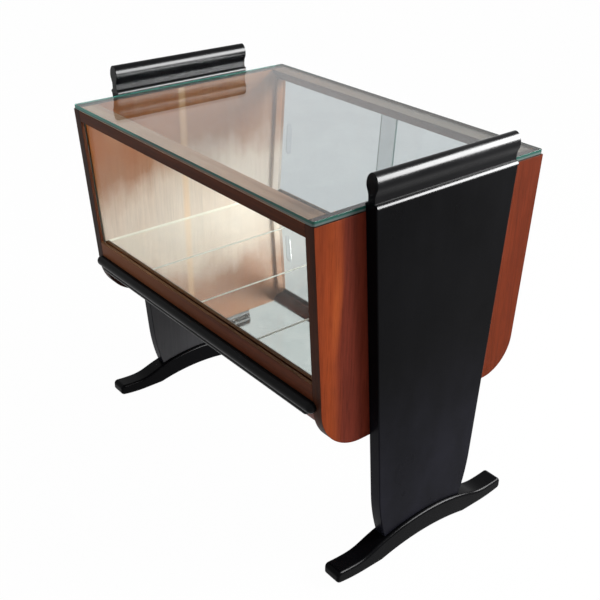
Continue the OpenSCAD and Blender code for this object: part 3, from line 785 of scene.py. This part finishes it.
# Glass: tint, refraction and the share of lamplight let through
top_plate = glass("top_plate_glass", (0.72, 0.76, 0.77), 1.25, (0.93, 0.95, 0.945))
front_plate = glass("front_pane_glass", (0.95, 0.965, 0.955), 1.12, (0.93, 0.95, 0.94))
back_plate = glass("back_pane_glass", (0.68, 0.71, 0.72), 1.35, (0.92, 0.94, 0.94))
recess_glass = glass("finger_pull_glass", (0.52, 0.56, 0.58), 1.15, (0.92, 0.94, 0.94),
                     roughness=0.22)
top_edge = plate_edge()
pane_edge = plain("pane_edge", linear(36, 86, 80), 0.2)
mirror_face = silvering()
# painted highlight: the tiles' bevels are pale so that the seams between them show bright
mirror_edge = plain("mirror_edge", linear(246, 246, 234), 0.3)
screw_steel = plain("screw_steel", (0.55, 0.54, 0.52, 1), 0.35, metallic=1.0)

# ---------- case ----------

groove_section = slot_points(FRONT_SET, PANE, TOP_Z + OVERRUN, FRONT_PANE_BOTTOM)
groove_reach = INNER_X + END_GROOVE
for side, skin in (("left", rosewood_left), ("right", rosewood_right)):
    name = side + "_end_panel"
    low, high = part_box(name)
    panel = prism(name + "_veneered", case_outline(), "X", low.x, high.x, skin)
    cut_out(panel, prism("pane_groove", groove_section, "X", -groove_reach, groove_reach,
                         edge_wood))
    ease(panel, PANEL_EASE, 2)
    settle(panel)
    smooth(panel)
    sign = 1 if side == "right" else -1

    def panel_finish(face):
        """Veneer outside, lining inside and in the groove, plain wood on the edges."""
        if face.normal.x * sign > FACING:
            return 0
        in_groove = abs(face.center.x) < groove_reach
        return 1 if face.normal.x * sign < -FACING or in_groove else 2

    paint(panel, (skin, lining_wood, edge_wood), panel_finish)
    belongs(panel, "case", "veneer", name)

rail_sections = {
    "front_top_rail": top_rail_section(
        slot_points(FRONT_SET, PANE, SEAT_Z, FRONT_PANE_TOP + PANE_TOP_GAP)),
    "back_top_rail": mirrored(top_rail_section(
        slot_points(BACK_SET, PANE, SEAT_Z, UPPER_TRACK_END)
        + slot_points(INNER_SET, PANE, SEAT_Z, UPPER_TRACK_END))),
    "front_bottom_rail": bottom_rail_section(
        slot_points(FRONT_SET, PANE, LEDGE_Z, FRONT_PANE_BOTTOM)),
    "back_bottom_rail": mirrored(bottom_rail_section(
        slot_points(BACK_SET, PANE, LEDGE_Z, LOWER_TRACK_END)
        + slot_points(INNER_SET, PANE, LEDGE_Z, LOWER_TRACK_END)))}
upper_woods = {"front_top_rail": front_top_wood, "back_top_rail": back_top_wood}
for name, section in rail_sections.items():
    low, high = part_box(name)
    rail = prism(name + "_shaped", section, "X", low.x, high.x, rail_wood)
    ease(rail, RAIL_EASE, 2)
    settle(rail)
    smooth(rail)
    face_wood = low_rail_wood if name == "front_bottom_rail" else rail_wood
    # painted light: the faces that look up get the lighter wood
    paint(rail, (face_wood, upper_woods.get(name, ledge_wood)),
          lambda f: 1 if f.normal.z > FACING else 0)
    belongs(rail, "case", "dark_frame", name)

low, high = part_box("bottom_shell")
shell = prism("bottom_shell_bent", shell_section(), "X", low.x, high.x, shell_wood)
ease(shell, RAIL_EASE, 2, 60)
settle(shell)
smooth(shell)
belongs(shell, "case", "veneer", "bottom_shell")

# Bevelled mirror tiles, one shape repeated along the floor, built up from three rings of corners
low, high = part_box("floor_mirror_1")
ring = [(low.x, low.y), (high.x, low.y), (high.x, high.y), (low.x, high.y)]
inset = [(low.x + TILE_BEVEL, low.y + TILE_BEVEL), (high.x - TILE_BEVEL, low.y + TILE_BEVEL),
         (high.x - TILE_BEVEL, high.y - TILE_BEVEL), (low.x + TILE_BEVEL, high.y - TILE_BEVEL)]
levels = [(ring, low.z), (ring, high.z - TILE_BEVEL / 2), (inset, high.z)]
tile_mesh = bpy.data.meshes.new("mirror_tile")
tile_mesh.from_pydata(
    [(x, y, z) for corners, z in levels for x, y in corners], [],
    [(3, 2, 1, 0), (8, 9, 10, 11)]
    + [(4 * k + i, 4 * k + (i + 1) % 4, 4 * k + 4 + (i + 1) % 4, 4 * k + 4 + i)
       for k in (0, 1) for i in range(4)])
tiles = new_piece("mirror_floor_tiles", tile_mesh)
add_nodes(tiles, ROW_TREE, {"Count": 4, "Pitch": (high.x - low.x + TILE_GAP, 0.0, 0.0),
                            "Finish": mirror_face, "Edge finish": mirror_edge})
settle(tiles)
outward(tiles.data)
belongs(tiles, "case", "mirror_tile", "floor_mirror_1", "floor_mirror_2", "floor_mirror_3",
        "floor_mirror_4")

# ---------- glass ----------

pane_section = [on_face(FRONT_SET, FRONT_PANE_BOTTOM), on_face(FRONT_SET, FRONT_PANE_TOP),
                on_face(FRONT_SET + PANE, FRONT_PANE_TOP),
                on_face(FRONT_SET + PANE, FRONT_PANE_BOTTOM)]
low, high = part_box("front_glass")
front_pane = prism("front_pane_fixed", pane_section, "X", low.x, high.x, front_plate)
ease(front_pane, PANE_EASE, 1)
settle(front_pane)
front_way = Vector((0, -math.cos(LEAN), -math.sin(LEAN)))
paint(front_pane, (front_plate, pane_edge),
      lambda f: 0 if abs(f.normal.dot(front_way)) > FLAT_ON else 1)
belongs(front_pane, "case", "pane_glass", "front_glass")

low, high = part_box("top_glass")
left_x, right_x = low.x + TOP_GLASS_CORNER, high.x - TOP_GLASS_CORNER
front_y, back_y = low.y + TOP_GLASS_CORNER, high.y - TOP_GLASS_CORNER
plate_outline = []
for quarter, corner in enumerate(((right_x, back_y), (left_x, back_y),
                                  (left_x, front_y), (right_x, front_y))):
    plate_outline += arc(corner, TOP_GLASS_CORNER, quarter * RIGHT, (quarter + 1) * RIGHT, 8)
plate = prism("top_plate_polished", plate_outline, "Z", low.z + TOP_GLASS_LIFT, high.z,
              top_plate)
ease(plate, TOP_GLASS_ARRIS, 2, 60)
settle(plate)
smooth(plate)
paint(plate, (top_plate, top_edge), lambda f: 0 if abs(f.normal.z) > FLAT_ON else 1)
belongs(plate, "case", "plate_glass", "top_glass")

back_way = Vector((0, math.cos(LEAN), -math.sin(LEAN)))
for name, body in (("back_pane_left", "left_pane"), ("back_pane_right", "right_pane")):
    pane = from_cad(name + "_sliding", name)
    depths = [back_way.dot(v.co) for v in pane.data.vertices]
    outer, inner = max(depths), min(depths)

    def pane_finish(face):
        """Clear faces, green edges, and ground glass in the finger pull."""
        depth = back_way.dot(face.center)
        if abs(face.normal.dot(back_way)) < FACING:
            return 1 if min(abs(depth - outer), abs(depth - inner)) > PANE * 0.3 else 2
        return 2 if outer - depth > PANE / 8 and depth - inner > PANE / 8 else 0

    paint(pane, (back_plate, pane_edge, recess_glass), pane_finish)
    belongs(pane, body, "pane_glass", name)

# ---------- mouldings ----------

moulding = from_cad("front_moulding_rolled", "front_moulding")
paint(moulding, (moulding_lacquer,))
smooth(moulding, 40)
belongs(moulding, "case", "black_lacquer", "front_moulding")

for side in ("left", "right"):
    bead = from_cad(side + "_bead_strip", side + "_back_bead")
    ease(bead, PANEL_EASE, 2)
    settle(bead)
    paint(bead, (lining_wood,))
    smooth(bead)
    belongs(bead, "case", "veneer", side + "_back_bead")

# ---------- standards, handles and feet ----------

for side in ("left", "right"):
    low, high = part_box(side + "_standard")
    standard = prism(side + "_standard_lacquered", standard_outline(), "X", low.x, high.x,
                     slab_lacquer)
    ease(standard, STANDARD_EASE, 4,
         chosen=lambda a, b: abs(a.x - b.x) < TINY and min(a.z, b.z) < high.z - TINY)
    settle(standard)
    smooth(standard)
    sign = 1 if side == "right" else -1
    # painted reflection: the inner faces get the lighter grey lacquer
    paint(standard, (slab_lacquer, inner_lacquer),
          lambda f: 1 if f.normal.x * sign < -FACING else 0)
    belongs(standard, "case", "black_lacquer", side + "_standard")

    low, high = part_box(side + "_handle")
    middle = (low.x + high.x) / 2
    outline = [(middle + x, low.z + z) for x, z in handle_section()]
    handle = prism(side + "_handle_rolled", outline, "Y", low.y, high.y, roll_lacquer)
    ease(handle, HANDLE_EASE, 3,
         chosen=lambda a, b: abs(a.y - b.y) < TINY and max(a.z, b.z) > low.z + TINY)
    settle(handle)
    smooth(handle, 50)
    belongs(handle, "case", "black_lacquer", side + "_handle")

    low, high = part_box(side + "_foot")
    foot = prism(side + "_foot_scrolled", foot_outline(), "X", low.x, high.x, foot_lacquer)
    ease(foot, FOOT_EASE, 6, 60, clamp=False)
    settle(foot)
    smooth(foot)
    belongs(foot, "case", "black_lacquer", side + "_foot")

# ---------- carried-over parts of the carcass ----------

for finish, names in (
        (carcass_wood, ("left_former", "middle_former", "right_former", "floor_board")),
        (dowel_wood, ("rail_dowels", "standard_dowels", "handle_dowels", "foot_dowels")),
        (screw_steel, ("standard_screws",))):
    for name in names:
        paint(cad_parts[name], (finish,))

# ---------- floor, light and camera ----------

FLOOR_REACH = 15
SKY = 0.42  # strength of the world as light on dull surfaces, though it shows as 1
FLOOR_WHITE = 0.985  # share of plain white in what the floor shows, the rest being its shadow

ground = bpy.data.meshes.new("studio_floor")
ground.from_pydata([(FLOOR_REACH * x, FLOOR_REACH * y, 0)
                    for x, y in ((-1, -1), (1, -1), (1, 1), (-1, 1))], [], [(0, 1, 2, 3)])
studio_floor = new_piece("studio_floor", ground)


def unspread(tree):
    """1 for light that no dull surface has spread, 0 for the rest."""
    node = tree.nodes.new("ShaderNodeMath")
    node.operation = "LESS_THAN"
    node.inputs[1].default_value = 0.5
    path = tree.nodes.new("ShaderNodeLightPath").outputs
    tree.links.new(path["Diffuse Depth"], node.inputs[0])
    return node.outputs[0]


def seen_directly(tree):
    """1 for what the camera, a shine or a pane shows, 0 for light spread by a dull surface."""
    path = tree.nodes.new("ShaderNodeLightPath").outputs

    def join(operation, a, b):
        node = tree.nodes.new("ShaderNodeMath")
        node.operation = operation
        for socket, value in zip(node.inputs, (a, b)):
            tree.links.new(value, socket)
        return node.outputs[0]

    clear = join("MAXIMUM", path["Is Glossy Ray"], path["Is Transmission Ray"])
    return join("MAXIMUM", path["Is Camera Ray"], join("MULTIPLY", clear, unspread(tree)))


floor_paint = Mixer("pale_floor")
dull = floor_paint.add("BsdfDiffuse", {"Color": (0.86, 0.86, 0.86, 1)}).outputs[0]
glow = floor_paint.add("Emission", {"Color": (1, 1, 1, 1), "Strength": 1.0}).outputs[0]
share = floor_paint.maths("MULTIPLY", seen_directly(floor_paint.tree), FLOOR_WHITE)
both = floor_paint.add("MixShader", {0: share, 1: dull, 2: glow}).outputs[0]
ground.materials.append(floor_paint.done(both))

world = bpy.data.worlds.new("studio")
bpy.context.scene.world = world
world.use_nodes = True
sky = world.node_tree
sky.nodes.clear()
level = sky.nodes.new("ShaderNodeMapRange")
level.inputs["To Min"].default_value, level.inputs["To Max"].default_value = SKY, 1.0
sky.links.new(seen_directly(sky), level.inputs["Value"])
backdrop = sky.nodes.new("ShaderNodeBackground")
backdrop.inputs["Color"].default_value = (1, 1, 1, 1)
sky.links.new(level.outputs[0], backdrop.inputs["Strength"])
sky.links.new(backdrop.outputs[0], sky.nodes.new("ShaderNodeOutputWorld").inputs["Surface"])

centre = (cad_box[0] + cad_box[1]) / 2
WINDOW = Vector((0.62, 0.66, 0.42)).normalized()  # way from the case to the lamps
SILL = Vector((0.73, -0.68, 0))  # way of their length


def softbox(name, distance, length, width, power):
    """A rectangular lamp towards the window, aimed at the middle of the case."""
    lamp = bpy.data.lights.new(name, "AREA")
    lamp.shape, lamp.size, lamp.size_y, lamp.energy = "RECTANGLE", length, width, power
    stand = bpy.data.objects.new(name, lamp)
    bpy.context.scene.collection.objects.link(stand)
    side = (SILL - WINDOW * WINDOW.dot(SILL)).normalized()
    turn = Matrix((side, WINDOW.cross(side), WINDOW)).transposed()
    stand.matrix_world = Matrix.Translation(centre + WINDOW * distance) @ turn.to_4x4()
    return stand


key = softbox("window_light", 2.2, 1.1, 0.8, 56)
key.visible_transmission = False
# The sheen lamp shows only as a shine, and what the mirror floor throws of it is left out
sheen = softbox("window_sheen", 2.3, 2.0, 1.0, 400)
sheen.visible_diffuse = False
sheen.data.use_nodes = True
sheen_tree = sheen.data.node_tree
sheen_tree.links.new(unspread(sheen_tree), sheen_tree.nodes["Emission"].inputs["Strength"])

CAMERA_PLACE, CAMERA_LENS = (1.2156, -0.9746, 1.14865), 56.83
AZIMUTH, ELEVATION, ROLL = math.radians(50.814), math.radians(28.212), math.radians(0.483)
camera = bpy.data.cameras.new("camera")
camera.sensor_width, camera.lens = 36.0, CAMERA_LENS
camera_stand = bpy.data.objects.new("camera", camera)
bpy.context.scene.collection.objects.link(camera_stand)
camera_stand.matrix_world = (
    Matrix.Translation(CAMERA_PLACE) @ Matrix.Rotation(AZIMUTH, 4, "Z")
    @ Matrix.Rotation(RIGHT - ELEVATION, 4, "X") @ Matrix.Rotation(ROLL, 4, "Z"))
bpy.context.scene.camera = camera_stand
bpy.context.scene.view_settings.view_transform = "Standard"
